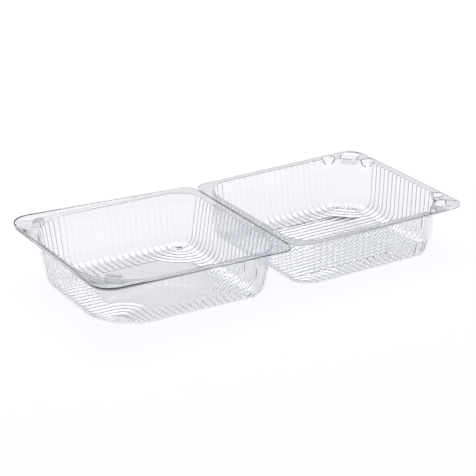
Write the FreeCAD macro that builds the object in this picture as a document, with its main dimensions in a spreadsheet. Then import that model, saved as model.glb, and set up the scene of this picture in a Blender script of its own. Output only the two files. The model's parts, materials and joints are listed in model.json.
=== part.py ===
import FreeCAD, Part
import math
import os
import Sketcher

# Hinged clear food box, lying open: a base tray, a lid tray and the thin hinge
# between them, all drawn from one thermoformed sheet. Millimetres, +Z up.
# The origin is the middle of the base tray's underside, on the table. The hinge
# line runs along Y at the base tray's -X edge, and the lid lies open beyond it.

SIZES = {
    # overall
    "base_width": 151,            # across the hinge, over the base rim
    "base_length": 152,           # hinge line to the outer edge of the base rim
    "lip_clearance": 0.4,         # base rim to the inside of the lid's lip, each side
    "end_clearance": 3.1,         # the same at the end away from the hinge
    "tray_depth": 39.8,           # table to the top of the rim
    "sheet": 0.6,
    # walls
    "base_flange": 6.8,           # rim edge to the top of the wall
    "lid_flange": 7.6,
    "lid_end_flange": 5.5,
    "base_draft": 4,
    "lid_draft": 9,
    "base_foot_radius": 9,        # bend from wall to floor
    "lid_foot_radius": 10,
    "hinge_corner": 20,           # tray corners beside the hinge
    "lid_end_corner": 44,
    "end_flat_blend": 12,         # both ends of the flat across a base outer corner
    "zone_margin": 0.2,           # a corner piece runs this far past its curve
    # rim outline
    "base_rim_hinge_radius": 12,
    "base_rim_end_radius": 14,
    "lid_rim_hinge_radius": 9,
    "lid_rim_end_radius": 16,
    # flutes
    "flute_pitch": 5.4,
    "flute_depth": 0.9,
    "rib_width": 2,               # ribs across the base's floor
    "rib_height": 0.8,
    "rib_pitch": 5.4,
    "rib_inset": 37,              # the rib row keeps this far from the rim's sides
    # smooth label panel in the lid's floor
    "panel_end_inset": 33.8,      # rim's ends to the panel
    "panel_side_inset": 37.5,     # rim's sides to the panel
    "panel_height": 0.6,
    "scoop_radius": 37,           # scooped panel corners
    "scoop_inset": 20,
    # hinge
    "hinge_bead_radius": 0.45,
    "hinge_setback": 0.8,         # lid rim to the hinge line
    "closed_gap": 0.3,            # between the two rims when shut
    "lid_lift": 1.44,             # degrees the lid springs up from flat
    # lip round the lid rim
    "lip_height": 3.8,
    "lip_low": 0.8,
    "lip_start": 12,
    # snap fasteners
    "snap_inset": 14.5,           # centre to the base rim's two edges
    "snap_land": 0.8,             # socket to the top of the flat wall beside it
    "stud_length": 12.6,
    "stud_width": 6.8,
    "stud_height": 4,
    "stud_corner": 2.6,
    "stud_draft": 6,
    "stud_edge": 1.1,
    "snap_clearance": 0.4,
    "snap_depth_clearance": 0.6,
    "bowl_radius": 5.6,           # finger pockets beside the sockets
}

doc = FreeCAD.newDocument("HingedBox")
sheet = doc.addObject("Spreadsheet::Sheet", "Sizes")
for row, (word, number) in enumerate(SIZES.items(), start=1):
    sheet.set("A%d" % row, word)
    sheet.set("B%d" % row, str(number))
    sheet.setAlias("B%d" % row, word)
doc.recompute()

MADE = []                         # (object, node name) of every finished piece


def size(word):
    return float(getattr(sheet, word))


def cell(text):
    """Turn plain size words inside {braces} into spreadsheet references."""
    return text.replace("{", "Sizes.").replace("}", "")


def bind(thing, **sizes):
    for name, text in sizes.items():
        thing.setExpression(name, cell(text))


def place(x=0.0, y=0.0, z=0.0, turn=0.0, tip=0.0):
    """Placement at a point, turned about Z after being tipped about X."""
    turned = FreeCAD.Rotation(FreeCAD.Vector(0, 0, 1), turn)
    tipped = FreeCAD.Rotation(FreeCAD.Vector(1, 0, 0), tip)
    return FreeCAD.Placement(FreeCAD.Vector(x, y, z), turned.multiply(tipped))


def finish(thing, node, placement):
    thing.Label = node
    thing.Placement = placement
    MADE.append((thing, node))
    return thing


def box(name, x, y, z, length, width, height):
    """A box whose corner and sides are expressions."""
    made = doc.addObject("Part::Box", name)
    bind(made, Length=length, Width=width, Height=height)
    for axis, text in (("x", x), ("y", y), ("z", z)):
        made.setExpression("Placement.Base." + axis, cell(text))
    return made


def boolean(kind, name, first, second):
    made = doc.addObject("Part::" + kind, name)
    made.Base = first
    made.Tool = second
    return made


def origin_plane(body, role):
    return [f for f in body.Origin.OriginFeatures if f.Role == role][0]


def rectangle(body, name, left, right, low, high, level):
    """A rectangle on the body's XY plane, raised to level."""
    sketch = body.newObject("Sketcher::SketchObject", name)
    sketch.AttachmentSupport = [(origin_plane(body, "XY_Plane"), "")]
    sketch.MapMode = "FlatFace"
    sketch.setExpression("AttachmentOffset.Base.z", cell(level))
    corners = [FreeCAD.Vector(x, y, 0) for x, y in ((1, -9), (9, -9), (9, 9), (1, 9))]
    for k in range(4):
        sketch.addGeometry(Part.LineSegment(corners[k], corners[(k + 1) % 4]), False)
    from_origin = -1
    for k in range(4):
        sketch.addConstraint(Sketcher.Constraint("Coincident", k, 2, (k + 1) % 4, 1))
    for k in (0, 2):
        sketch.addConstraint(Sketcher.Constraint("Horizontal", k))
        sketch.addConstraint(Sketcher.Constraint("Vertical", k + 1))
    spans = (("DistanceX", 0, 1, left, "left"), ("DistanceX", 1, 1, right, "right"),
             ("DistanceY", 0, 1, low, "low"), ("DistanceY", 2, 1, high, "high"))
    for kind, line, end, text, label in spans:
        index = sketch.addConstraint(Sketcher.Constraint(kind, from_origin, 1, line, end, 1.0))
        sketch.renameConstraint(index, label)
        sketch.setExpression("Constraints." + label, cell(text))
    return sketch


def edge_names(shape, wanted):
    return ["Edge%d" % (k + 1) for k, edge in enumerate(shape.Edges) if wanted(edge)]


def rises(edge):
    return edge.BoundBox.ZLength > 0.6 * edge.Length


def add_round(body, base, radius, wanted, name, kind="Fillet", field="Radius"):
    """Fillet or chamfer the wanted edges of the body's last feature."""
    doc.recompute()
    made = body.newObject("PartDesign::" + kind, name)
    made.Base = (base, edge_names(base.Shape, wanted))
    bind(made, **{field: radius})
    doc.recompute()
    return made


def formed_block(name, left, right, low, high, top, depth, draft, near, far, foot=None,
                 chamfer=None):
    """A block that hangs down from z = top and narrows by its draft.

    near and far round the upright edges on the low-x and high-x sides, chamfer
    cuts the far pair first, and foot rounds the bottom edge.
    """
    body = doc.addObject("PartDesign::Body", name)
    sketch = rectangle(body, name + "_outline", left, right, low, high, top)
    pad = body.newObject("PartDesign::Pad", name + "_pad")
    pad.Profile = sketch
    pad.Reversed = True
    bind(pad, Length=depth)
    doc.recompute()
    middle = pad.Shape.BoundBox.Center.x
    last = pad
    if draft != "0":
        faces = pad.Shape.Faces
        heights = [face.CenterOfMass.z for face in faces]
        last = body.newObject("PartDesign::Draft", name + "_draft")
        last.Base = (pad, ["Face%d" % (k + 1) for k, height in enumerate(heights)
                           if min(heights) < height < max(heights)])
        last.NeutralPlane = (pad, ["Face%d" % (heights.index(max(heights)) + 1)])
        last.Reversed = True
        bind(last, Angle=draft)
        doc.recompute()

    def on_near(edge):
        return rises(edge) and edge.CenterOfMass.x < middle

    def on_far(edge):
        return rises(edge) and edge.CenterOfMass.x > middle

    if chamfer:
        last = add_round(body, last, chamfer, on_far, name + "_cut", "Chamfer", "Size")
    last = add_round(body, last, far, on_far, name + "_far")
    last = add_round(body, last, near, on_near, name + "_near")
    if foot:
        bottom = min(vertex.Point.z for vertex in last.Shape.Vertexes)

        def on_foot(edge):
            return edge.CenterOfMass.z < bottom + 0.01
        last = add_round(body, last, foot, on_foot, name + "_foot")
    body.Tip = last
    return body


RIM = "{tray_depth}"              # height of the rim's top face
UNDER_RIM = "({tray_depth} - {sheet})"
HINGE_AXIS = FreeCAD.Vector(0, 0, size("tray_depth") + size("closed_gap") / 2)

# Both trays are drawn with the hinge line through x = 0 and the tray on the +X
# side, then moved. The lid also takes half a turn about the vertical through the
# hinge, and is lifted about the hinge line. The flat across the base's outer corners
# is as long as the sockets behind it need.
BASE_PLACE = place(-size("base_length") / 2)
LIFT = FreeCAD.Placement(FreeCAD.Vector(),
                         FreeCAD.Rotation(FreeCAD.Vector(0, 1, 0), size("lid_lift")), HINGE_AXIS)
END_FLAT = ("(2 * ({snap_inset} - {base_flange}) + sqrt(2) * "
            "({stud_width} / 2 + {snap_clearance} + {sheet} + {snap_land}))")
TRAYS = {
    "base": dict(length="{base_length}", width="{base_width}", draft="{base_draft}",
                 flange="{base_flange}", end_flange="{base_flange}",
                 foot="{base_foot_radius}", end_corner="{end_flat_blend}", chamfer=END_FLAT,
                 near_zone="({base_flange} + {hinge_corner} + {zone_margin})",
                 end_zone="({base_flange} + " + END_FLAT + " + {bowl_radius} + {zone_margin})",
                 rim_near="{base_rim_hinge_radius}", rim_far="{base_rim_end_radius}",
                 rim_start="{hinge_bead_radius}", place=BASE_PLACE,
                 sides={-1: "front", 1: "back"}),
    "lid": dict(length="({base_length} + {end_clearance} + {sheet})",
                width="({base_width} + 2 * ({lip_clearance} + {sheet}))", draft="{lid_draft}",
                flange="{lid_flange}", end_flange="{lid_end_flange}",
                foot="{lid_foot_radius}", end_corner="{lid_end_corner}", chamfer=None,
                near_zone="({lid_flange} + {hinge_corner} + {zone_margin})",
                end_zone="({lid_flange} + {lid_end_corner} + {zone_margin})",
                rim_near="{lid_rim_hinge_radius}", rim_far="{lid_rim_end_radius}",
                rim_start="{hinge_setback}",
                place=BASE_PLACE.multiply(LIFT).multiply(place(turn=180)),
                sides={-1: "back", 1: "front"}),
}


def foot_top(tray):
    """Height at which the wall meets the bend into the floor."""
    return "({foot} * (1 - sin({draft})))".replace("{foot}", tray["foot"]).replace(
        "{draft}", tray["draft"])


def block_pair(name, tray):
    """The outer and inner faces of a tray, as two solid blocks."""
    thick = "{sheet} * (1 - sin(DRAFT)) / cos(DRAFT)".replace("DRAFT", tray["draft"])
    pair = []
    for skin, more, top, depth, less in (("outer", "", UNDER_RIM, UNDER_RIM, "0"),
                                         ("inner", " + " + thick, RIM, UNDER_RIM, "{sheet}")):
        inset = "(" + tray["flange"] + more + ")"
        end_inset = "(" + tray["end_flange"] + more + ")"
        half = "(" + tray["width"] + " / 2 - " + inset + ")"
        chamfer = tray["chamfer"]
        if chamfer:
            chamfer = chamfer + " - (2 - sqrt(2)) * " + less
        pair.append(formed_block(
            name + "_" + skin, left=inset, right=tray["length"] + " - " + end_inset,
            low="-" + half, high=half, top=top, depth=depth, draft=tray["draft"],
            near="{hinge_corner} - " + less, far=tray["end_corner"] + " - " + less,
            foot=tray["foot"] + " - " + less, chamfer=chamfer))
    return pair


def zone_box(name, tray, x_zone, y_zone, low, high):
    """A box over one zone of a tray, between two heights.

    x_zone is hinge, middle or end; y_zone is -1, 0 or 1. A corner zone is as wide
    as it is long, and the middle zones fill what the corners leave.
    """
    near = tray["near_zone"]
    far = tray["end_zone"]
    corner = far if x_zone == "end" else near
    half = "(" + tray["width"] + " / 2)"
    spans_x = {"hinge": ("0", near), "end": (tray["length"] + " - " + far, far),
               "middle": (near, tray["length"] + " - " + near + " - " + far)}
    spans_y = {-1: ("-" + half, corner), 1: (half + " - " + corner, corner),
               0: ("-" + half + " + " + corner, tray["width"] + " - 2 * " + corner)}
    if x_zone == "middle":
        spans_y = {-1: ("-" + half, half), 1: ("0", half)}
    x, length = spans_x[x_zone]
    y, width = spans_y[y_zone]
    return box(name, x, y, low, length, width, high + " - (" + low + ")")


def common(name, first, second):
    return boolean("Common", name, first, second)


def flute_panel(node, run, draft, height, placement):
    """A fluted wall: one scallop of sheet, padded down the draft and repeated.

    Its run is along +X from the origin, its outer side faces -Y, its top is z = 0.
    """
    body = doc.addObject("PartDesign::Body", node)
    sketch = body.newObject("Sketcher::SketchObject", node + "_scallop")
    sketch.AttachmentSupport = [(origin_plane(body, "XY_Plane"), "")]
    sketch.MapMode = "FlatFace"
    flutes = round(run / size("flute_pitch"))
    pitch = run / flutes
    for index, back in enumerate((0.0, size("sheet"))):
        left = FreeCAD.Vector(0, back, 0)
        crown = FreeCAD.Vector(pitch / 2, back - size("flute_depth"), 0)
        right = FreeCAD.Vector(pitch, back, 0)
        sketch.addGeometry(Part.Arc(left, crown, right), False)
        sketch.addConstraint(Sketcher.Constraint("Block", index))
    for x in (0, pitch):
        start = FreeCAD.Vector(x, 0, 0)
        end = FreeCAD.Vector(x, size("sheet"), 0)
        sketch.addGeometry(Part.LineSegment(start, end), False)
    pad = body.newObject("PartDesign::Pad", node + "_pad")
    pad.Profile = sketch
    pad.UseCustomVector = True
    pad.Direction = FreeCAD.Vector(0, math.tan(math.radians(draft)), -1)
    pad.AlongSketchNormal = True
    bind(pad, Length=height)
    doc.recompute()
    row = body.newObject("PartDesign::LinearPattern", node + "_row")
    row.Originals = [pad]
    row.Direction = (sketch, ["H_Axis"])
    row.Length = run - pitch
    row.Occurrences = flutes
    body.Tip = row
    doc.recompute()
    return finish(body, node, placement)


def turned_block(name, length, width, top, depth, corner, foot, placement):
    """A small drafted block about its own centre, for the studs and sockets."""
    block = formed_block(name, "-(" + length + ") / 2", "(" + length + ") / 2",
                         "-(" + width + ") / 2", "(" + width + ") / 2", top, depth,
                         "{stud_draft}", corner, corner, foot)
    block.Placement = placement
    return block


def build_tray(prefix, tray):
    """Walls, bends, corners, floor and rim of one tray, each a piece of its own."""
    outer, inner = block_pair(prefix, tray)
    shell = boolean("Cut", prefix + "_shell", outer, inner)
    plate = formed_block(prefix + "_plate", tray["rim_start"], tray["length"],
                         "-" + tray["width"] + " / 2", tray["width"] + " / 2", RIM,
                         "{sheet}", "0", tray["rim_near"], tray["rim_far"])
    rim = boolean("Cut", prefix + "_rim_ring", plate, inner)
    foot = foot_top(tray)
    zones = [("middle", -1, "_" + tray["sides"][-1]), ("middle", 1, "_" + tray["sides"][1]),
             ("hinge", 0, "_hinge_side"), ("end", 0, "_end")]
    corners = [(x, y, "_" + tray["sides"][y] + "_" + x + "_corner")
               for x in ("hinge", "end") for y in (-1, 1)]
    pieces = {}
    stretches = {}
    for x, y, side in zones:
        low_box = zone_box(prefix + side + "_low", tray, x, y, "{sheet}", foot)
        stretches[side] = low_box
        pieces[side, "bend"] = common(prefix + side + "_bend", shell, low_box)
        rim_box = zone_box(prefix + side + "_high", tray, x, y, UNDER_RIM, RIM)
        pieces[side, "rim"] = common(prefix + side + "_strip", rim, rim_box)
    for x, y, corner in corners:
        wall_box = zone_box(prefix + corner + "_low", tray, x, y, "{sheet}", UNDER_RIM)
        pieces[corner, "wall"] = common(prefix + corner + "_shell", shell, wall_box)
        rim_box = zone_box(prefix + corner + "_high", tray, x, y, UNDER_RIM, RIM)
        pieces[corner, "rim"] = common(prefix + corner + "_strip", rim, rim_box)
    floor_box = box(prefix + "_floor_box", "0", "-" + tray["width"] + " / 2", "0",
                    tray["length"], tray["width"], "{sheet}")
    pieces["_floor", "plate"] = common(prefix + "_floor_plate", shell, floor_box)
    add_flutes(prefix, tray, outer, stretches)
    return pieces, inner


def reach(thing):
    """Least x, greatest x, least y and greatest y of an object's corners."""
    x = [vertex.X for vertex in thing.Shape.Vertexes]
    y = [vertex.Y for vertex in thing.Shape.Vertexes]
    return min(x), max(x), min(y), max(y)


def add_flutes(prefix, tray, outer, stretches):
    """The four fluted walls of a tray, between its corners."""
    doc.recompute()
    left, right, front, back = reach(outer)
    low_side, high_side = "_" + tray["sides"][-1], "_" + tray["sides"][1]
    near, far = reach(stretches[low_side])[:2]
    hinge_low, hinge_high = reach(stretches["_hinge_side"])[2:]
    end_low, end_high = reach(stretches["_end"])[2:]
    top = size("tray_depth") - size("sheet")
    draft = size(tray["draft"].strip("{}"))
    height = UNDER_RIM + " - " + foot_top(tray)
    walls = ((low_side, far - near, place(near, front, top)),
             ("_end", end_high - end_low, place(right, end_low, top, turn=90)),
             (high_side, far - near, place(far, back, top, turn=180)),
             ("_hinge_side", hinge_high - hinge_low, place(left, hinge_high, top, turn=270)))
    for side, run, where in walls:
        flute_panel(prefix + side + "_wall", run, draft, height, tray["place"].multiply(where))


def rib_row():
    """Straight ribs that cross the base's floor from the hinge side to the end."""
    body = doc.addObject("PartDesign::Body", "base_ribs")
    inset = TRAYS["base"]["end_zone"]
    gaps = int((size("base_width") - 2 * size("rib_inset")) / size("rib_pitch"))
    first = "(-{rib_pitch} * " + str(gaps) + " / 2)"
    sketch = rectangle(body, "rib_outline", inset, "{base_length} - " + inset,
                       first + " - {rib_width} / 2", first + " + {rib_width} / 2", "{sheet}")
    pad = body.newObject("PartDesign::Pad", "rib_pad")
    pad.Profile = sketch
    bind(pad, Length="{rib_height}")
    doc.recompute()
    row = body.newObject("PartDesign::LinearPattern", "rib_row")
    row.Originals = [pad]
    row.Direction = (sketch, ["V_Axis"])
    bind(row, Length="{rib_pitch} * " + str(gaps))
    row.Occurrences = gaps + 1
    body.Tip = row
    return body


def label_panel():
    """The smooth panel in the lid's floor, its corners scooped by the flutes."""
    length = TRAYS["lid"]["length"]
    half = "(" + TRAYS["lid"]["width"] + " / 2 - {panel_side_inset})"
    panel = box("panel_block", "{panel_end_inset}", "-" + half, "{sheet}",
                length + " - 2 * {panel_end_inset}", "2 * " + half, "{panel_height}")
    for x in ("{scoop_inset}", length + " - {scoop_inset}"):
        for sign in ("-", ""):
            scoop = doc.addObject("Part::Cylinder", "scoop")
            bind(scoop, Radius="{scoop_radius}", Height="{tray_depth}")
            scoop.setExpression("Placement.Base.x", cell(x))
            scoop.setExpression("Placement.Base.y",
                                cell(sign + "(" + TRAYS["lid"]["width"]
                                     + " / 2 - {scoop_inset})"))
            panel = boolean("Cut", "panel", panel, scoop)
    return panel


def snap_places():
    """Centre of each snap fastener and the turn that lays it across its corner."""
    x = size("base_length") - size("snap_inset")
    y = size("base_width") / 2 - size("snap_inset")
    return {-1: (x, -y, 45), 1: (x, y, -45)}


def build_sockets(pieces):
    """Cups in the base's outer rim corners that the studs snap into."""
    depth = "({stud_height} + {snap_depth_clearance})"
    for y, (x_mid, y_mid, turn) in snap_places().items():
        name = "base_" + TRAYS["base"]["sides"][y] + "_socket"
        corner = "_" + TRAYS["base"]["sides"][y] + "_end_corner"
        where = place(x_mid, y_mid, turn=turn)
        mouth = "{stud_SPAN} + 2 * {snap_clearance}"
        outside = mouth + " + 2 * {sheet}"
        cup = turned_block(name + "_outer", outside.replace("SPAN", "length"),
                           outside.replace("SPAN", "width"), RIM, depth + " + {sheet}",
                           "{stud_corner} + {snap_clearance} + {sheet}",
                           "{stud_edge} + {sheet}", where)
        hollow = turned_block(name + "_inner", mouth.replace("SPAN", "length"),
                              mouth.replace("SPAN", "width"), RIM, depth,
                              "{stud_corner} + {snap_clearance}", "{stud_edge}", where)
        finish(boolean("Cut", name, cup, hollow), name, BASE_PLACE)
        pieces[corner, "rim"] = boolean("Cut", name + "_hole", pieces[corner, "rim"], cup)


def build_studs():
    """Hollow studs that stand up from the lid's outer rim corners."""
    for y, (x_mid, y_mid, turn) in snap_places().items():
        name = "lid_" + TRAYS["lid"]["sides"][y] + "_stud"
        where = place(x_mid, y_mid, size("tray_depth"), turn=turn, tip=180)
        solid = turned_block(name + "_outer", "{stud_length}", "{stud_width}", "0",
                             "{stud_height}", "{stud_corner}", "{stud_edge}", where)
        hollow = turned_block(name + "_inner", "{stud_length} - 2 * {sheet}",
                              "{stud_width} - 2 * {sheet}", "0",
                              "{stud_height} - {sheet}", "{stud_corner} - {sheet}",
                              "{stud_edge} - {sheet}", where)
        finish(boolean("Cut", name, solid, hollow), name, TRAYS["lid"]["place"])


def build_bowls(pieces, inner):
    """Half-round finger pockets at both ends of each flat across the corners."""
    half = "({base_width} / 2 - {base_flange})"
    end = "({base_length} - {base_flange})"
    spots = (("side", end + " - " + END_FLAT, half), ("end", end, half + " - " + END_FLAT))
    for y in (-1, 1):
        sign = "-" if y < 0 else ""
        corner = "_" + TRAYS["base"]["sides"][y] + "_end_corner"
        for word, x_text, y_text in spots:
            name = "base_" + TRAYS["base"]["sides"][y] + "_" + word + "_pocket"
            balls = []
            for skin, radius in (("_outer", "{bowl_radius}"), ("_inner", "{bowl_radius} - {sheet}")):
                ball = doc.addObject("Part::Sphere", name + skin)
                ball.Angle2 = 0
                bind(ball, Radius=radius)
                for axis, text in (("x", x_text), ("y", sign + "(" + y_text + ")"), ("z", RIM)):
                    ball.setExpression("Placement.Base." + axis, cell(text))
                balls.append(ball)
            bowl = boolean("Cut", name + "_bowl", balls[0], balls[1])
            finish(boolean("Cut", name, bowl, inner), name, BASE_PLACE)
            for part in ("rim", "wall"):
                pieces[corner, part] = boolean("Cut", name + "_" + part,
                                               pieces[corner, part], balls[0])


def build_lip():
    """The upstanding lip round the lid's rim, which wraps the base's rim when shut."""
    tray = TRAYS["lid"]
    lid = tray["place"]
    end = size("base_length") + size("end_clearance") + size("sheet")
    half = size("base_width") / 2 + size("lip_clearance") + size("sheet")
    radius = size("lid_rim_end_radius")
    top = size("tray_depth")
    for y in (-1, 1):
        side = "lid_" + tray["sides"][y]
        wedge = doc.addObject("Part::Wedge", side + "_lip")
        bind(wedge, Xmax="{sheet}", X2max="{sheet}", Zmax="{lip_low}", Z2max="{lip_height}",
             Ymax=tray["length"] + " - {lid_rim_end_radius} - {lip_start}")
        wedge.Xmin = wedge.X2min = wedge.Ymin = wedge.Zmin = wedge.Z2min = 0
        edge = half if y > 0 else -half + size("sheet")
        finish(wedge, side + "_lip",
               lid.multiply(place(size("lip_start"), edge, top, turn=-90)))
        rounds = []
        for skin, less in (("_outer", ""), ("_inner", " - {sheet}")):
            ring = doc.addObject("Part::Cylinder", side + "_lip_corner" + skin)
            bind(ring, Radius="{lid_rim_end_radius}" + less, Height="{lip_height}")
            ring.Angle = 90
            rounds.append(ring)
        finish(boolean("Cut", side + "_lip_corner", rounds[0], rounds[1]),
               side + "_lip_corner",
               lid.multiply(place(end - radius, y * (half - radius), top,
                                  turn=0 if y > 0 else -90)))
    straight = box("lid_end_lip", tray["length"] + " - {sheet}",
                   "-(" + tray["width"] + " / 2 - {lid_rim_end_radius})", RIM, "{sheet}",
                   tray["width"] + " - 2 * {lid_rim_end_radius}", "{lip_height}")
    whole = doc.addObject("Part::Compound", "lid_end_lip_whole")
    whole.Links = [straight]
    finish(whole, "lid_end_lip", lid)


def build_hinge():
    """The round bead on the hinge line and the leaf that joins it to the base's rim."""
    run = "({base_width} - 2 * {base_rim_hinge_radius})"
    bead = doc.addObject("Part::Cylinder", "hinge_round")
    bind(bead, Radius="{hinge_bead_radius}", Height=run)
    half_run = size("base_width") / 2 - size("base_rim_hinge_radius")
    bead.Placement = FreeCAD.Placement(FreeCAD.Vector(0, -half_run, HINGE_AXIS.z),
                                       FreeCAD.Rotation(FreeCAD.Vector(1, 0, 0), -90))
    leaf = box("hinge_leaf", "0", "-" + run + " / 2", UNDER_RIM,
               "{hinge_bead_radius}", run, "{sheet}")
    finish(boolean("Fuse", "hinge_bead", bead, leaf), "hinge_bead", BASE_PLACE)


for prefix, tray in TRAYS.items():
    pieces, inner = build_tray(prefix, tray)
    if prefix == "base":
        build_sockets(pieces)
        build_bowls(pieces, inner)
        detail = rib_row()
    else:
        detail = label_panel()
    pieces["_floor", "plate"] = boolean("Fuse", prefix + "_floor",
                                        pieces["_floor", "plate"], detail)
    for (zone, part), piece in pieces.items():
        ending = "" if part == "plate" else "_" + part
        finish(piece, prefix + zone + ending, tray["place"])
build_studs()
build_lip()
build_hinge()
doc.recompute()

os.makedirs("parts", exist_ok=True)
faults = [thing.Name for thing in doc.Objects
          if "Invalid" in thing.State or "Error" in thing.State]
faults += [node for thing, node in MADE if thing.Shape.isNull() or not thing.Shape.isValid()]
if faults:
    raise RuntimeError("these failed: " + ", ".join(faults))
for thing, node in MADE:
    thing.Shape.exportStep("parts/" + node + ".step")
    print("%-32s %2d solid %9.2f mm3" % (node, len(thing.Shape.Solids), thing.Shape.Volume))
print(len(MADE), "pieces")
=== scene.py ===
import bpy
import bmesh
import json
import math
import numpy as np
from mathutils import Matrix, Vector


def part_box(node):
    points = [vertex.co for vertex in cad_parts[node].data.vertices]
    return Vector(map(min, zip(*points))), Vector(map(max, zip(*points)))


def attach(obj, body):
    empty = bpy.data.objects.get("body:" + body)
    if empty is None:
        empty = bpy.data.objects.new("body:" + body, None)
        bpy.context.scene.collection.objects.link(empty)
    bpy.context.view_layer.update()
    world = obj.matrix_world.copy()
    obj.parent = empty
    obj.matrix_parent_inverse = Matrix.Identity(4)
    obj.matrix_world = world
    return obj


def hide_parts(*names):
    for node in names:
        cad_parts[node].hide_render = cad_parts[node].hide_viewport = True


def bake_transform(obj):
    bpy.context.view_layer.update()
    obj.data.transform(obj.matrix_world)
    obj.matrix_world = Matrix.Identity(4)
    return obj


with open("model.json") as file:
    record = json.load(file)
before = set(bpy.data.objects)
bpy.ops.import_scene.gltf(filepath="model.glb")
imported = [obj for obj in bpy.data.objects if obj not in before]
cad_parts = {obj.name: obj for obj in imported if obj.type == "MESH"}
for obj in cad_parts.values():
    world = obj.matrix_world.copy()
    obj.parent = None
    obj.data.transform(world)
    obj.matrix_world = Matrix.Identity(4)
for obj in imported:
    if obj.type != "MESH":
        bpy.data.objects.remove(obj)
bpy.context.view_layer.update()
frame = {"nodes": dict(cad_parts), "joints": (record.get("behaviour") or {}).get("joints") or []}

# ---------------------------------------------------------------- the formed sheet
# Both trays are one sheet of clear plastic, formed over a mould: a flat rim, fluted
# walls, and flutes that run on over the floor. Each tray is drawn in millimetres with
# its hinge line through x = 0 and its floor at z = 0, then put where the frame has it.
MM = 0.001
SHEET = 0.5
RIM_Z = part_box("base_front_rim")[1].z / MM - SHEET      # underside of the rim
FLUTE_DEPTH = 0.9
PER_FLUTE = 10                    # mesh steps across one flute
FOOT_STEPS = 8                    # and round the bend from wall to floor
SAME_SPOT = 0.004                 # points nearer than this are one point
hinge = frame["joints"][0]
HINGE_AT = Vector(hinge["pos_m"])
LIFT = math.radians(-hinge["range_deg"][0])


def scallop(across):
    """Depth of a flute at a distance across it, counted in flutes."""
    part = across - math.floor(across + 1e-9)
    return FLUTE_DEPTH * 4 * part * (1 - part) if part > 1e-6 else 0.0


def over_flutes(count, pitch, start=0.0):
    """Distance and depth at each mesh line over a number of flutes."""
    return [(start + k / PER_FLUTE * pitch, scallop(k / PER_FLUTE))
            for k in range(count * PER_FLUTE + 1)]


def round_core(core, radius, turn):
    """Point on an arc about a corner's core, turn degrees round from the end side."""
    radians = math.radians(turn)
    return core[0] + radius * math.cos(radians), core[1] + radius * math.sin(radians)


class Corner:
    """One corner of a tray's opening, with both its walls running inwards from (0, 0)."""

    def __init__(self, tray, at_x, inward, rim_radius, end_flange, cores, radius=0, flat=0,
                 blend=0):
        self.tray, self.at_x, self.inward = tray, at_x, inward
        self.cores, self.rim_radius, self.end_flange = cores, rim_radius, end_flange
        quarter = math.pi / 2
        if flat:
            short = blend * math.tan(quarter / 4)
            self.start = flat + short
            self.bends = [(blend * quarter / 2, 1 / blend),
                          (flat * math.sqrt(2) - 2 * short, 0), (blend * quarter / 2, 1 / blend)]
        else:
            self.start = radius
            self.bends = [(radius * quarter, 1 / radius)]
        self.length = sum(run for run, _ in self.bends)

    def wall(self, along):
        """Point of the wall's top and its inward direction, at a distance round the corner."""
        x, y, turned = self.start, 0.0, 0.0
        if along < 0:
            return np.array((x - along, y)), np.array((0.0, 1.0))
        for run, curve in self.bends:
            step = min(along, run)
            if curve:
                new = turned + step * curve
                x -= (math.sin(new) - math.sin(turned)) / curve
                y += (math.cos(turned) - math.cos(new)) / curve
                turned = new
            else:
                x -= step * math.cos(turned)
                y += step * math.sin(turned)
            along -= step
        return np.array((x, y + along)), np.array((math.sin(turned), math.cos(turned)))

    def rim_edge(self, along):
        """Point of the rim's outer edge that faces the same place on the wall's top."""
        side, end, bend = self.tray.flange, self.end_flange, self.rim_radius
        if along <= 0:
            return np.array((self.start - along, -side))
        if along >= self.length:
            return np.array((-end, self.start + along - self.length))
        first = self.start + end - bend
        last = self.start + side - bend
        way = along / self.length * (first + last + bend * math.pi / 2)
        if way < first:
            return np.array((self.start - way, -side))
        if way < first + bend * math.pi / 2:
            turned = (way - first) / bend
            return np.array((-end + bend - bend * math.sin(turned),
                             -side + bend - bend * math.cos(turned)))
        return np.array((-end, -side + bend + way - first - bend * math.pi / 2))

    def side_along(self, off):
        return self.start - (self.cores[0][0] + off)

    def end_along(self, off):
        return self.length + self.cores[1][1] + off - self.start


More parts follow.
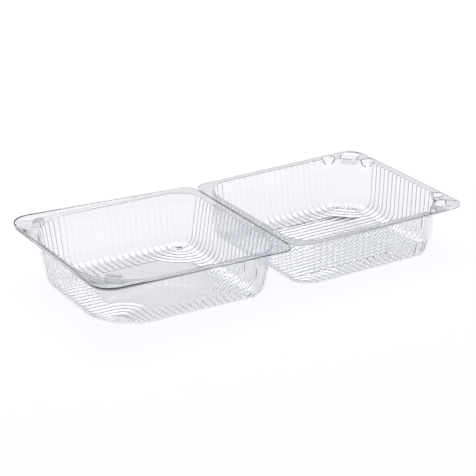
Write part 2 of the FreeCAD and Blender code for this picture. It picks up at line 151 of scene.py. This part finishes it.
class Tray:
    """Collects the outer skin of one tray as patches, then turns it into a closed sheet."""

    def __init__(self, width, flange, draft, foot_radius, lip=None):
        self.half = width / 2 - flange
        self.flange, self.lip = flange, lip
        self.slope = math.tan(math.radians(draft))
        self.floor_z = FLUTE_DEPTH
        self.points, self.faces = [], []
        lean = math.radians(draft)
        top_of_foot = self.floor_z + foot_radius * (1 - math.sin(lean))
        wall_inset = (RIM_Z - top_of_foot) * self.slope
        self.foot_inset = wall_inset + foot_radius * math.cos(lean)
        self.rows = []                # (inset, height, lean of the skin), top first
        for drop in (0.5, 0.3 * (RIM_Z - top_of_foot), 0.65 * (RIM_Z - top_of_foot)):
            self.rows.append((drop * self.slope, RIM_Z - drop, lean))
        for k in range(FOOT_STEPS + 1):
            now = lean + (math.pi / 2 - lean) * k / FOOT_STEPS
            inset = self.foot_inset - foot_radius * math.cos(now)
            self.rows.append((inset, self.floor_z + foot_radius * (1 - math.sin(now)), now))

    def column(self, corner, along, flute, shrink=0.0):
        """The skin from the rim's edge down the wall to its foot, as points."""
        top, inward = corner.wall(along)
        edge = corner.rim_edge(along)
        reach = np.linalg.norm(edge - top)
        outward = (edge - top) / reach
        points = []
        lip = self.lip(self.true_x(corner, edge[0])) if self.lip else 0
        if lip:
            for up in (1.0, 0.55, 0.2):
                points.append((*edge, RIM_Z + lip * up))
            points.append((*(edge - outward * 0.25), RIM_Z + 0.05))
            points.append((*(edge - outward * 0.8), RIM_Z))
        else:
            points.append((*edge, RIM_Z - 0.35))
            points.append((*(edge - outward * 0.15), RIM_Z - 0.05))
            points.append((*(edge - outward * 0.7), RIM_Z))
        points.append((*(top + outward * min(2.6, 0.55 * reach)), RIM_Z))
        for out, down in ((0.55, 0.0), (0.12, 0.1)):
            points.append((*(top - inward * (out + flute)), RIM_Z - down))
        for inset, height, lean in self.rows:
            amount = flute * (1 - shrink * inset / self.foot_inset)
            spot = top + inward * (inset - amount * math.cos(lean))
            points.append((*spot, height - amount * math.sin(lean)))
        return points, top + inward * self.foot_inset

    def true_x(self, corner, x):
        return corner.at_x + corner.inward * x

    def add_patch(self, corner, lines):
        """A grid of points in a corner's own directions, and its mirror over y = 0."""
        grid = np.array(lines, float)
        across, down = grid.shape[:2]
        for mirror in (1, -1):
            first = len(self.points)
            for x, y, z in grid.reshape(-1, 3):
                self.points.append((self.true_x(corner, x), mirror * (self.half - y), z))
            turn = corner.inward * mirror > 0
            for i in range(across - 1):
                for j in range(down - 1):
                    a = first + i * down + j
                    quad = (a, a + 1, a + down + 1, a + down)
                    self.faces.append(quad if turn else quad[::-1])

    def add_strip(self, corner, one, other):
        """Triangles between two lines of points that share their ends or run side by side."""
        one, other = np.array(one, float), np.array(other, float)
        shares = []
        for line in (one, other):
            run = np.concatenate(([0], np.cumsum(np.linalg.norm(np.diff(line, axis=0), axis=1))))
            shares.append(run / run[-1])
        for mirror in (1, -1):
            first = len(self.points)
            for x, y, z in np.concatenate((one, other)):
                self.points.append((self.true_x(corner, x), mirror * (self.half - y), z))
            turn = corner.inward * mirror > 0
            i, j, second = 0, 0, first + len(one)
            while i < len(one) - 1 or j < len(other) - 1:
                step_one = j == len(other) - 1 or (
                    i < len(one) - 1 and shares[0][i + 1] <= shares[1][j + 1])
                if step_one:
                    face = (first + i, first + i + 1, second + j)
                    i += 1
                else:
                    face = (first + i, second + j + 1, second + j)
                    j += 1
                self.faces.append(face if turn else face[::-1])

    def floor_point(self, spot, flute=0.0):
        return (spot[0], spot[1], self.floor_z - flute)

    def floor_run(self, start, end, steps, flute, fade=(1.0, 1.0)):
        """Points on the floor from start (left out) to end."""
        run = []
        for k in range(1, steps + 1):
            share = k / steps
            amount = flute * (fade[0] + (fade[1] - fade[0]) * share)
            spot = np.array(start) * (1 - share) + np.array(end) * share
            run.append(self.floor_point(spot, amount))
        return run

    def build(self, name, matrix):
        """Join the patches into one skin, put it in place and give it its thickness."""
        mesh = bpy.data.meshes.new(name)
        mesh.from_pydata(self.points, [], self.faces)
        piece = bpy.data.objects.new(name, mesh)
        bpy.context.scene.collection.objects.link(piece)
        shape = bmesh.new()
        shape.from_mesh(mesh)
        bmesh.ops.remove_doubles(shape, verts=shape.verts, dist=SAME_SPOT)
        bmesh.ops.dissolve_degenerate(shape, edges=shape.edges, dist=0.0005)
        bmesh.ops.recalc_face_normals(shape, faces=shape.faces)
        lowest = min(shape.faces, key=lambda face: face.calc_center_median().z)
        if lowest.normal.z > 0:
            bmesh.ops.reverse_faces(shape, faces=shape.faces)
        shape.to_mesh(mesh)
        shape.free()
        mesh.transform(matrix)
        for polygon in mesh.polygons:
            polygon.use_smooth = polygon.loop_total < 9       # all but the flat label panel
        thick = piece.modifiers.new("sheet", "SOLIDIFY")
        thick.thickness = SHEET * MM
        thick.offset = -1
        bpy.context.view_layer.objects.active = piece
        bpy.ops.object.modifier_apply(modifier=thick.name)
        return piece


def ring_line(tray, corner, off, flute, floor_steps, arc_turns, core_steps):
    """One line of the sheet: down a wall, round the corner's core on the floor, up the other."""
    near, near_foot = tray.column(corner, corner.side_along(off), flute)
    far, far_foot = tray.column(corner, corner.end_along(off), flute)
    (ax, ay), (bx, by) = corner.cores
    line = near + tray.floor_run(near_foot, (ax + off, ay), floor_steps, flute)
    first_turns = [turn for turn in arc_turns if 0 < turn <= (45 if core_steps else 90)]
    line += [tray.floor_point(round_core((ax, ay), off, turn), flute) for turn in first_turns]
    if core_steps:
        shift = off * math.sqrt(0.5)
        line += tray.floor_run((ax + shift, ay + shift), (bx + shift, by + shift), core_steps, flute)
        line += [tray.floor_point(round_core((bx, by), off, turn), flute)
                 for turn in arc_turns if turn > 45]
    back = tray.floor_run(far_foot, (bx, by + off), floor_steps, flute)
    return line + back[::-1][1:] + far[::-1]


def fan(tray, corner, count, floor_steps):
    """Flutes that fan round a corner's wall and close on its core."""
    first, last = corner.side_along(0), corner.end_along(0)
    core = corner.cores[0]
    narrow = 1 - np.linalg.norm(tray.column(corner, first, 0)[1] - tray.column(
        corner, last, 0)[1]) / max(1.0, (last - first))
    lines = []
    for k in range(count * PER_FLUTE + 1):
        share = k / (count * PER_FLUTE)
        flute = scallop(share * count)
        line, foot = tray.column(corner, first + (last - first) * share, flute, narrow)
        lines.append(line + tray.floor_run(foot, core, floor_steps, flute * (1 - narrow), (1, 0)))
    tray.add_patch(corner, lines)


def smooth(share):
    """An even rise from 0 to 1 that starts and ends level."""
    share = min(1.0, max(0.0, share))
    return share * share * (3 - 2 * share)


# ---------------------------------------------------------------- lid tray
# The lid is the deeper-drafted half: big rounded outer corners, a lip that wraps the
# base's rim when it shuts, and a smooth label panel that the floor's flutes run round.
# It's formed in one draw with the base, so it's the same sheet.
LIFTED = 0.1                      # what the lift adds to the lid's reach
lid_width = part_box("lid_front_lip")[0].y * -2 / MM
lid_length = (HINGE_AT.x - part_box("lid_end_lip")[0].x) / MM - LIFTED
lid_pitch = 5.33
lid_core = (15.6, 15.6)
lid_flange, lid_end_flange = 7.6, 5.5
LID_END_ROUND = 16                # rim's outer corners away from the hinge
LIP_START, LIP_LOW, LIP_HIGH = 12.0, 0.5, 3.8


def lid_lip(x):
    """Height of the lip, which rises from the hinge to the outer corners."""
    share = (x - LIP_START) / (lid_length - LID_END_ROUND - LIP_START)
    return LIP_LOW + (LIP_HIGH - LIP_LOW) * min(1.0, max(0.0, share))


lid = Tray(lid_width, lid_flange, draft=9, foot_radius=10, lip=lid_lip)
hinge_corner = Corner(lid, lid_flange, 1, radius=20, rim_radius=9, end_flange=lid_flange - 0.8,
                      cores=(lid_core, lid_core))
side_flutes, end_flutes = 18, 7
core_x = lid_length - lid_end_flange - (lid_flange + lid_core[0] + side_flutes * lid_pitch)
core_y = lid.half - end_flutes * lid_pitch
end_corner = Corner(lid, lid_length - lid_end_flange, -1, radius=44, rim_radius=LID_END_ROUND,
                    end_flange=lid_end_flange, cores=((core_x, core_y), (core_x, core_y)))

TURN = 5                          # degrees between mesh lines round a core
quarter_turns = list(range(0, 91, TURN))
HINGE_RINGS, END_RINGS = 6, 4
panel_ring = []                   # edge of the label panel, from the hinge end round the back

# rings round the hinge corner, and the flutes that fan out behind them
lid.add_patch(hinge_corner, [ring_line(lid, hinge_corner, off, flute, 1, quarter_turns, 0)
                             for off, flute in over_flutes(HINGE_RINGS, lid_pitch)])
fan(lid, hinge_corner, 4, 1)

# flutes from the hinge wall to the panel
outer = HINGE_RINGS * lid_pitch
edge_turn, side_turn = 75, 30     # where the last ring meets the panel's two edges
lines = []
across = int(round((lid.half - lid_core[1]) / lid_pitch)) - HINGE_RINGS
for k in range(across * PER_FLUTE + 1):
    off = outer + k / PER_FLUTE * lid_pitch
    flute = scallop(k / PER_FLUTE)
    line, foot = lid.column(hinge_corner, hinge_corner.end_along(off), flute)
    spot = np.array((lid_core[0], lid_core[1] + off))
    line += lid.floor_run(foot, spot, 1, flute)
    lean = 1 - smooth(k / PER_FLUTE / across)
    for turn in range(90 - TURN, edge_turn - 1, -TURN):
        x, y = round_core(lid_core, outer, turn)
        drop = (lid_core[1] + outer - y) * lean
        line.append(lid.floor_point((x, spot[1] - drop), flute if turn > edge_turn else 0))
    lines.append(line)
lid.add_patch(hinge_corner, lines[::-1])
panel_ring += [(hinge_corner, line[-1]) for line in lines[::-1]]
for turn in range(edge_turn - TURN, side_turn, -TURN):
    panel_ring.append((hinge_corner, lid.floor_point(round_core(lid_core, outer, turn))))

# flutes from the side wall to the panel
LEAN_RUN = 1.6                    # the flutes straighten before the far end of the run
lines = []
panel_side = outer * math.sin(math.radians(side_turn))
between = side_flutes - HINGE_RINGS - END_RINGS
for k in range(between * PER_FLUTE + 1):
    off = outer + k / PER_FLUTE * lid_pitch
    flute = scallop(k / PER_FLUTE)
    line, foot = lid.column(hinge_corner, hinge_corner.side_along(off), flute)
    spot = np.array((lid_core[0] + off, lid_core[1]))
    line += lid.floor_run(foot, spot, 1, flute)
    lean = 1 - smooth(k / PER_FLUTE / between * LEAN_RUN)
    end_y = lid_core[1] + panel_side
    end_y += (core_y - end_y) * k / PER_FLUTE / between
    for turn in range(TURN, side_turn + 1, TURN):
        radians = math.radians(turn)
        drop = (1 - math.cos(radians)) * outer * lean
        down = math.sin(radians) / math.sin(math.radians(side_turn))
        line.append(lid.floor_point((spot[0] - drop, spot[1] + (end_y - spot[1]) * down),
                                    flute if turn < side_turn else 0))
    lines.append(line)
lid.add_patch(hinge_corner, lines)
panel_ring += [(hinge_corner, line[-1]) for line in lines]
downs = [math.sin(math.radians(turn)) / math.sin(math.radians(side_turn))
         for turn in range(TURN, side_turn + 1, TURN)]


def end_floor(foot, spot, flute, fade=(1.0, 1.0)):
    """Floor points beside the lid's outer corner, spaced like the side flutes' own."""
    foot, spot = np.array(foot), np.array(spot)
    knee = foot + (spot - foot) * (lid_core[1] - lid.foot_inset) / (core_y - lid.foot_inset)
    points = []
    for share in [0] + downs:
        total = np.linalg.norm(knee - foot) + share * np.linalg.norm(spot - knee)
        total /= np.linalg.norm(spot - foot)
        amount = flute * (fade[0] + (fade[1] - fade[0]) * total)
        points.append(lid.floor_point(foot + (spot - foot) * total, amount))
    return points


# rings round the outer corner
lines = []
for off, flute in over_flutes(END_RINGS, lid_pitch):
    line, foot = lid.column(end_corner, end_corner.side_along(off), flute)
    line += end_floor(foot, (core_x + off, core_y), flute)
    line += [lid.floor_point(round_core((core_x, core_y), off, turn), flute)
             for turn in quarter_turns[1:]]
    far, foot = lid.column(end_corner, end_corner.end_along(off), flute)
    lines.append(line + end_floor(foot, (core_x, core_y + off), flute)[::-1][1:] + far[::-1])
lid.add_patch(end_corner, lines)
outer = END_RINGS * lid_pitch
for turn in quarter_turns[1:]:
    panel_ring.append((end_corner, lid.floor_point(round_core((core_x, core_y), outer, turn))))

# flutes that fan round the outer corner
first, last = end_corner.side_along(0), end_corner.end_along(0)
fan_flutes, narrow = 8, 0.35      # the flutes lose this share of their depth at the foot
lines = []
for k in range(fan_flutes * PER_FLUTE + 1):
    flute = scallop(k / PER_FLUTE)
    along = first + (last - first) * k / (fan_flutes * PER_FLUTE)
    line, foot = lid.column(end_corner, along, flute, narrow)
    lines.append(line + end_floor(foot, (core_x, core_y), flute * (1 - narrow), (1, 0)))
lid.add_patch(end_corner, lines)

# flutes from the end wall to the panel
lines = []
for off, flute in over_flutes(end_flutes - END_RINGS, lid_pitch, outer):
    line, foot = lid.column(end_corner, end_corner.end_along(off), flute)
    run = end_floor(foot, (core_x, core_y + off), flute)
    lines.append(line + run[:-1] + [lid.floor_point(run[-1])])
lid.add_patch(end_corner, lines[::-1])
panel_ring += [(end_corner, line[-1]) for line in lines[1:]]

# the panel: one smooth face, level with the tops of the flutes round it
loop = []
for corner, (x, y, z) in panel_ring:
    spot = (lid.true_x(corner, x), lid.half - y, z)
    if not loop or math.dist(loop[-1], spot) > SAME_SPOT:
        loop.append(spot)
loop += [(x, -y, z) for x, y, z in loop[::-1][1:-1]]
lid.faces.append(tuple(range(len(lid.points), len(lid.points) + len(loop))))
lid.points += loop

lid_place = (Matrix.Translation(HINGE_AT) @ Matrix.Rotation(LIFT, 4, "Y")
             @ Matrix.Translation((0, 0, -HINGE_AT.z)) @ Matrix.Rotation(math.pi, 4, "Z")
             @ Matrix.Scale(MM, 4))
lid_sheet = lid.build("lid_sheet", lid_place)
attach(lid_sheet, "lid_tray")
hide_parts(*[node for node in frame["nodes"]
                         if node.startswith("lid_") and not node.endswith("_stud")])

# ---------------------------------------------------------------- base tray
# The base has steeper walls, a plain rim, and straight ribs right across its floor.
# A smooth flat cuts each outer corner, with short ribs at its foot; the snap sockets
# and the finger pockets are let into the rim beside it.
base_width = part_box("base_front_rim")[0].y * -2 / MM
base_length = (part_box("base_end_rim")[1].x - HINGE_AT.x) / MM
base_flange = 6.8
base_pitch = 5.4
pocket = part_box("base_back_side_pocket")
pocket_radius = (pocket[1].x - pocket[0].x) / 2
end_flat = base_length - base_flange - ((pocket[0].x + pocket[1].x) / 2 - HINGE_AT.x) / MM
base = Tray(base_width, base_flange, draft=4, foot_radius=9)
core_x, core_y = 15.7, 14.7
hinge_corner = Corner(base, base_flange, 1, radius=20, rim_radius=12, end_flange=base_flange - 0.45,
                      cores=((core_x, core_y), (core_x, core_y)))
run_flutes = 18
far_x = base_length - 2 * base_flange - core_x - run_flutes * base_pitch
end_corner = Corner(base, base_length - base_flange, -1, flat=end_flat, blend=12, rim_radius=14,
                    end_flange=base_flange,
                    cores=((far_x, core_y), (far_x - 2 * base_pitch, core_y + 2 * base_pitch)))
INNER_RINGS, OUTER_RINGS = 2, 3
FLOOR_STEPS = 2
ARC_STEPS = 8                     # mesh steps round each arc
eighths = [90 * k / ARC_STEPS for k in range(ARC_STEPS + 1)]

# rings and fan at the hinge corner
base.add_patch(hinge_corner, [ring_line(base, hinge_corner, off, flute, FLOOR_STEPS, eighths, 0)
                              for off, flute in over_flutes(INNER_RINGS, base_pitch)])
fan(base, hinge_corner, 4, FLOOR_STEPS)

# arcs round the flat at the outer corner
meets = math.degrees(math.asin(INNER_RINGS / OUTER_RINGS))
turns = [meets * k / ARC_STEPS for k in range(ARC_STEPS + 1)]
turns += [45 + 45 * k / ARC_STEPS for k in range(ARC_STEPS + 1)]
CORE_STEPS = 14
lines = [ring_line(base, end_corner, off, flute, FLOOR_STEPS, turns, CORE_STEPS)
         for off, flute in over_flutes(OUTER_RINGS, base_pitch)]
columns = len(base.column(end_corner, 0, 0)[0])
split = columns + FLOOR_STEPS + ARC_STEPS          # where the outermost arc meets the first rib
tail = split + 1 + CORE_STEPS + ARC_STEPS          # and where it runs into the end wall's flutes
base.add_patch(end_corner, lines[:-1])
last_arc = lines[-1]
near_arc = lines[-2]
base.add_patch(end_corner, [near_arc[:split + 1], last_arc[:split + 1]])
base.add_patch(end_corner, [near_arc[tail:], last_arc[tail:]])

# flutes from the side wall to the first straight rib
outer = INNER_RINGS * base_pitch
outermost = OUTER_RINGS * base_pitch
run = run_flutes - INNER_RINGS - OUTER_RINGS
FIRST_RUN, LAST_RUN = 6, 5        # flutes that bend to meet the rings and the arcs
lines = []
for k in range(run * PER_FLUTE + 1):
    off = outer + k / PER_FLUTE * base_pitch
    flute = scallop(k / PER_FLUTE)
    line, foot = base.column(hinge_corner, hinge_corner.side_along(off), flute)
    spot = np.array((core_x + off, core_y))
    line += base.floor_run(foot, spot, FLOOR_STEPS, flute)
    by_rings = 1 - smooth(k / PER_FLUTE / FIRST_RUN)
    by_arcs = smooth((k / PER_FLUTE - run + LAST_RUN) / LAST_RUN)
    for step in range(1, ARC_STEPS + 1):
        ring_x, ring_y = round_core((0, 0), outer, 90 * step / ARC_STEPS)
        arc_x, arc_y = round_core((0, 0), outermost, meets * step / ARC_STEPS)
        shift = (outermost - arc_x) * by_arcs - (outer - ring_x) * by_rings
        down = ring_y * by_rings + arc_y * by_arcs
        down += (1 - by_rings - by_arcs) * outer * step / ARC_STEPS
        line.append(base.floor_point((spot[0] + shift, spot[1] + down), flute))
    lines.append(line)
base.add_patch(hinge_corner, lines)
rib_front = [line[-1] for line in lines]   # wavy ends along the first rib's line

# straight ribs: the first three stop at the arcs, the rest run to the end wall
RUN_STEPS = 6
rib_lines = []
gap = end_corner.at_x - hinge_corner.at_x


def arc_reach(down):
    """How far a rib runs before it meets the outermost arc, at a distance below its core."""
    (ax, ay), (bx, by) = end_corner.cores
    drop = down - ay
    knee = outermost * math.sqrt(0.5)
    if drop < knee:
        reach = ax + math.sqrt(max(0.0, outermost ** 2 - drop ** 2))
    elif down < by + knee:
        reach = ax + knee - (drop - knee)
    else:
        reach = bx + math.sqrt(max(0.0, outermost ** 2 - (down - by) ** 2))
    return gap - reach


for off, flute in over_flutes(OUTER_RINGS, base_pitch, outer):
    line, foot = base.column(hinge_corner, hinge_corner.end_along(off), flute)
    spot = (core_x, core_y + off)
    line += base.floor_run(foot, spot, FLOOR_STEPS, flute)
    stop = (arc_reach(core_y + off), core_y + off)
    line += base.floor_run(spot, stop, RUN_STEPS, flute)[:-1]
    rib_lines.append(line + [base.floor_point(stop)])
head = columns + FLOOR_STEPS
base.add_patch(hinge_corner, [line[:head] for line in rib_lines[:2]][::-1])
base.add_strip(hinge_corner, rib_lines[1][head - 1:], rib_front)
base.add_patch(hinge_corner, rib_lines[1:][::-1])

# the outermost arc, drawn from the rib ends that meet it
arc_points = [(gap - line[-1][0], line[-1][1], line[-1][2]) for line in rib_lines]
base.add_strip(end_corner, arc_points, near_arc[split:tail + 1])

# the ribs between them run on into the end wall's flutes
lines = []
rest = int(round((base.half - core_y) / base_pitch)) - INNER_RINGS - OUTER_RINGS
for off, flute in over_flutes(rest, base_pitch, outer + outermost):
    line, foot = base.column(hinge_corner, hinge_corner.end_along(off), flute)
    spot = (core_x, core_y + off)
    line += base.floor_run(foot, spot, FLOOR_STEPS, flute)
    line += base.floor_run(spot, (gap - end_corner.cores[1][0], core_y + off), RUN_STEPS, flute)
    down = core_y + off - end_corner.cores[1][1]
    far, foot = base.column(end_corner, end_corner.end_along(down), flute)
    back = base.floor_run(foot, (end_corner.cores[1][0], core_y + off), FLOOR_STEPS, flute)
    mirrored = [(gap - x, y, z) for x, y, z in (back[::-1][1:] + far[::-1])]
    lines.append(line + mirrored)
base.add_patch(hinge_corner, lines[::-1])

# the smooth flat across the outer corner, with seven short ribs at its foot
SHORT_RIBS, SHORT_RISE, PER_RIB = 7, 1.3, 8
first, last = end_corner.side_along(0), end_corner.end_along(0)
(ax, ay), (bx, by) = end_corner.cores
blend_end = end_corner.bends[0][0]
flat_end = blend_end + end_corner.bends[1][0]
rib_steps = SHORT_RIBS * PER_RIB
stops = [first + (blend_end - first) * k / ARC_STEPS for k in range(ARC_STEPS)]
stops += [blend_end + (flat_end - blend_end) * k / rib_steps for k in range(rib_steps)]
stops += [flat_end + (last - flat_end) * k / ARC_STEPS for k in range(ARC_STEPS + 1)]
lines = []
for along in stops:
    share = min(1.0, max(0.0, (along - blend_end) / (flat_end - blend_end)))
    rib = 0.5 - 0.5 * math.cos(2 * math.pi * share * SHORT_RIBS)
    line, foot = base.column(end_corner, along, 0)
    for k in range(len(line) - FOOT_STEPS, len(line)):
        x, y, z = line[k]
        grow = SHORT_RISE * rib * math.sin(math.pi * (k - len(line) + 9) / 14)
        line[k] = (x + grow * 0.5, y + grow * 0.5, z + grow * 0.6)
    landing = round(share * CORE_STEPS) / CORE_STEPS
    core = (ax + (bx - ax) * landing, ay + (by - ay) * landing)
    middle = (np.array(foot) + core) / 2
    line.append(base.floor_point(middle, -0.5 * SHORT_RISE * rib))
    line.append(base.floor_point(core))
    lines.append(line)
base.add_patch(end_corner, lines)

base_place = Matrix.Translation((HINGE_AT.x, 0, 0)) @ Matrix.Scale(MM, 4)
base_sheet = base.build("base_sheet", base_place)


def cut_away(piece, cutter):
    """Cut a closed shape out of a piece and throw the shape away."""
    cut = piece.modifiers.new("cut", "BOOLEAN")
    cut.operation = "DIFFERENCE"
    cut.solver = "EXACT"
    cut.object = cutter
    bpy.context.view_layer.objects.active = piece
    bpy.ops.object.modifier_apply(modifier=cut.name)
    bpy.data.objects.remove(cutter)


# finger pockets and sockets are open above, so their mouths are cut from the rim
SLIVER = 0.02 * MM                # keeps a cut just inside the piece that lines it
MOUTH_RISE, MOUTH_STRETCH = 0.3 * MM, 1.2
for side in ("front", "back"):
    for word in ("side", "end"):
        low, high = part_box("base_%s_%s_pocket" % (side, word))
        centre = (low + high) / 2
        if word == "side":
            centre.y = high.y - pocket_radius if side == "back" else low.y + pocket_radius
        else:
            centre.x = high.x - pocket_radius
        centre.z = high.z
        bpy.ops.mesh.primitive_uv_sphere_add(segments=48, ring_count=24, location=centre,
                                             radius=pocket_radius - SLIVER)
        cut_away(base_sheet, bpy.context.object)
    socket = frame["nodes"]["base_%s_socket" % side]
    cutter = bpy.data.objects.new("cutter", socket.data.copy())
    bpy.context.scene.collection.objects.link(cutter)
    bpy.ops.object.select_all(action="DESELECT")
    cutter.select_set(True)
    bpy.context.view_layer.objects.active = cutter
    bpy.ops.object.mode_set(mode="EDIT")
    bpy.ops.mesh.select_all(action="SELECT")
    bpy.ops.mesh.convex_hull()
    bpy.ops.object.mode_set(mode="OBJECT")
    low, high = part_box("base_%s_socket" % side)
    middle = (low + high) / 2
    middle.z = high.z
    cutter.data.transform(Matrix.Translation(middle) @ Matrix.Diagonal((1, 1, MOUTH_STRETCH, 1))
                          @ Matrix.Translation(-middle) @ Matrix.Translation((0, 0, MOUTH_RISE)))
    cut_away(base_sheet, cutter)
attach(base_sheet, "base_tray")
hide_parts(*[node for node in frame["nodes"] if node.startswith("base_")
                          and not node.endswith(("_socket", "_pocket"))])

# ---------------------------------------------------------------- living hinge
# The fold is the same sheet pressed thin: a narrow arched web between the two rims.
half_run = (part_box("hinge_bead")[1].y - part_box("hinge_bead")[0].y) / 2 / MM
web_from, web_to = -0.85, 0.5     # rim edge of the lid, rim edge of the base
WEB, WEB_ARCH = 0.22, 0.55
bpy.ops.mesh.primitive_grid_add(x_subdivisions=12, y_subdivisions=60, size=1)
web = bpy.context.object
web.name = "hinge_web_strip"
for vertex in web.data.vertices:
    share = vertex.co.x + 0.5
    x = web_from + (web_to - web_from) * share
    z = RIM_Z + SHEET / 2 + WEB_ARCH * math.sin(math.pi * share)
    vertex.co = (HINGE_AT.x + x * MM, vertex.co.y * 2 * half_run * MM, z * MM)
thick = web.modifiers.new("web", "SOLIDIFY")
thick.thickness = WEB * MM
thick.offset = 0
bpy.ops.object.modifier_apply(modifier=thick.name)
bpy.ops.object.shade_smooth()
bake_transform(web)
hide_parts("hinge_bead")

# ---------------------------------------------------------------- clear plastic
# Clear thermoformed sheet: nearly colourless, glossy, a little blue-grey in depth, with
# the faint waviness that forming leaves. Light on its way to the floor goes straight
# through it, so that it leaves only a light shadow.


def clear_plastic(name, tint, roughness, wave):
    """Glossy see-through sheet with a tint and a faint wave."""
    material = bpy.data.materials.new(name)
    material.use_nodes = True
    nodes, links = material.node_tree.nodes, material.node_tree.links
    shader = nodes["Principled BSDF"]
    shader.inputs["Base Color"].default_value = (*tint, 1)
    shader.inputs["Transmission Weight"].default_value = 1
    shader.inputs["IOR"].default_value = 1.5
    shader.inputs["Roughness"].default_value = roughness
    place = nodes.new("ShaderNodeTexCoord")
    noise = nodes.new("ShaderNodeTexNoise")
    noise.inputs["Scale"].default_value = 60
    noise.inputs["Detail"].default_value = 2
    bump = nodes.new("ShaderNodeBump")
    bump.inputs["Strength"].default_value = wave
    bump.inputs["Distance"].default_value = 0.0004
    links.new(place.outputs["Object"], noise.inputs["Vector"])
    links.new(noise.outputs["Fac"], bump.inputs["Height"])
    links.new(bump.outputs["Normal"], shader.inputs["Normal"])
    through = nodes.new("ShaderNodeBsdfTransparent")
    through.inputs["Color"].default_value = (*[0.5 + 0.5 * value for value in tint], 1)
    path = nodes.new("ShaderNodeLightPath")
    straight = nodes.new("ShaderNodeMath")
    straight.operation = "MAXIMUM"
    links.new(path.outputs["Is Shadow Ray"], straight.inputs[0])
    links.new(path.outputs["Is Diffuse Ray"], straight.inputs[1])
    mix = nodes.new("ShaderNodeMixShader")
    links.new(straight.outputs["Value"], mix.inputs["Fac"])
    links.new(shader.outputs["BSDF"], mix.inputs[1])
    links.new(through.outputs["BSDF"], mix.inputs[2])
    links.new(mix.outputs["Shader"], nodes["Material Output"].inputs["Surface"])
    return material


clear = clear_plastic("clear_sheet", (0.93, 0.935, 0.95), 0.02, 0.12)
for piece in (lid_sheet, base_sheet, web, *frame["nodes"].values()):
    piece.data.materials.clear()
    piece.data.materials.append(clear)

# ---------------------------------------------------------------- stage
# A pale floor, a pale surround and one big soft light, overhead and a little behind.
bpy.ops.mesh.primitive_plane_add(size=60, location=(0, 0, 0))
floor = bpy.context.object
floor.name = "floor"
pale = bpy.data.materials.new("pale_floor")
pale.use_nodes = True
pale.node_tree.nodes["Principled BSDF"].inputs["Base Color"].default_value = (0.9, 0.9, 0.9, 1)
pale.node_tree.nodes["Principled BSDF"].inputs["Roughness"].default_value = 0.8
floor.data.materials.append(pale)

world = bpy.data.worlds.new("studio")
bpy.context.scene.world = world
world.use_nodes = True
backdrop = world.node_tree.nodes["Background"]
backdrop.inputs["Color"].default_value = (0.85, 0.85, 0.90, 1)
backdrop.inputs["Strength"].default_value = 0.38


overhead = bpy.data.lights.new("overhead", "AREA")
overhead.shape = "RECTANGLE"
overhead.size, overhead.size_y = 5.0, 4.0
overhead.energy = 285
lamp = bpy.data.objects.new("overhead", overhead)
bpy.context.scene.collection.objects.link(lamp)
lamp.location = (0.3, 1.5, 5.0)
lamp.rotation_euler = (Vector((-0.1, 0, 0)) - lamp.location).to_track_quat("-Z", "Y").to_euler()

# ---------------------------------------------------------------- camera
# From above the front left, with a long lens and the slight roll of a camera in the hand.
LENS, SENSOR, DISTANCE = 134.8, 36, 1.28565
azimuth, elevation, roll = (math.radians(a) for a in (-30.193, 22.464, 1.406))
aim = Vector((-0.10025, -0.03557, 0.0398))
back = Vector((math.sin(azimuth) * math.cos(elevation), -math.cos(azimuth) * math.cos(elevation),
               math.sin(elevation)))
right = Vector((math.cos(azimuth), math.sin(azimuth), 0))
turned = Matrix((right, back.cross(right), back)).transposed() @ Matrix.Rotation(-roll, 3, "Z")
camera_data = bpy.data.cameras.new("camera")
camera_data.lens = LENS
camera_data.sensor_width = SENSOR
camera = bpy.data.objects.new("camera", camera_data)
bpy.context.scene.collection.objects.link(camera)
camera.matrix_world = Matrix.Translation(aim + back * DISTANCE) @ turned.to_4x4()
bpy.context.scene.camera = camera

scene = bpy.context.scene
scene.view_settings.view_transform = "Standard"
scene.cycles.max_bounces = 24
scene.cycles.transmission_bounces = 24
scene.cycles.transparent_max_bounces = 32
scene.cycles.glossy_bounces = 6
